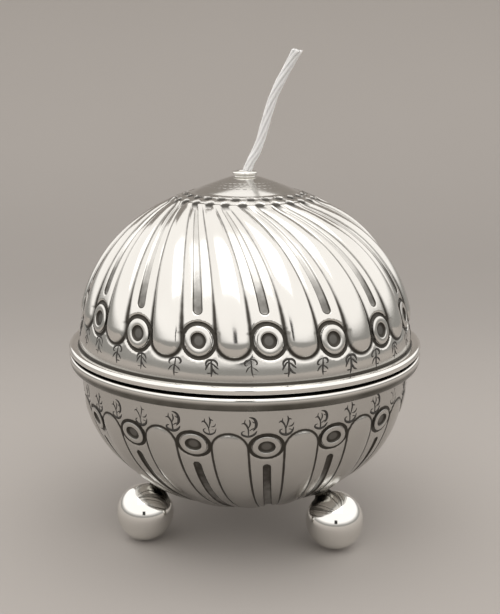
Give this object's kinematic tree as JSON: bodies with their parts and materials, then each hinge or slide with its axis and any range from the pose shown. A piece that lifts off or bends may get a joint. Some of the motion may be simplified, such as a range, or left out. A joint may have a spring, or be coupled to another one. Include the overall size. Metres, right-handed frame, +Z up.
{
  "type": "string box",
  "caption": "Round hinged silver box on ball feet, with swirled flutes, that holds a ball of twine and feeds it out through an eyelet in its lid.",
  "frame": {"origin": "on the upright axis of the round box, at the level its three ball feet stand on", "axes": "+Z up, -Y towards the front that the picture shows, +Y towards the hinge, +X to the right"},
  "size_m": [0.097, 0.1004, 0.1333],
  "materials": {
    "raised_silver": "raised and chased sheet silver, bright on the swells, oxidised dark in the chased lines",
    "polished_silver": "polished solid silver wire, balls and turned work",
    "cotton_twine": "natural off-white twisted cotton twine, matt"
  },
  "bodies": {
    "bowl_body": {"bowl": "raised_silver", "bowl_rim_wire": "polished_silver", "bowl_collar": "polished_silver", "foot_right": "polished_silver", "foot_back": "polished_silver", "foot_left": "polished_silver", "bowl_knuckle_left": "polished_silver", "bowl_knuckle_right": "polished_silver", "hinge_pin": "polished_silver", "twine_ball": "cotton_twine", "string_feed": "cotton_twine"},
    "lid_body": {"lid": "raised_silver", "lid_rim_wire": "polished_silver", "string_eyelet": "polished_silver", "lid_knuckle": "polished_silver", "string_end": "cotton_twine"}
  },
  "joints": [
    {"name": "lid_hinge", "type": "hinge", "parent": "bowl_body", "child": "lid_body", "pos_m": [0, 0.0504, 0.05312], "axis": [-1, 0, 0], "range_deg": [0, 100]}
  ]
}
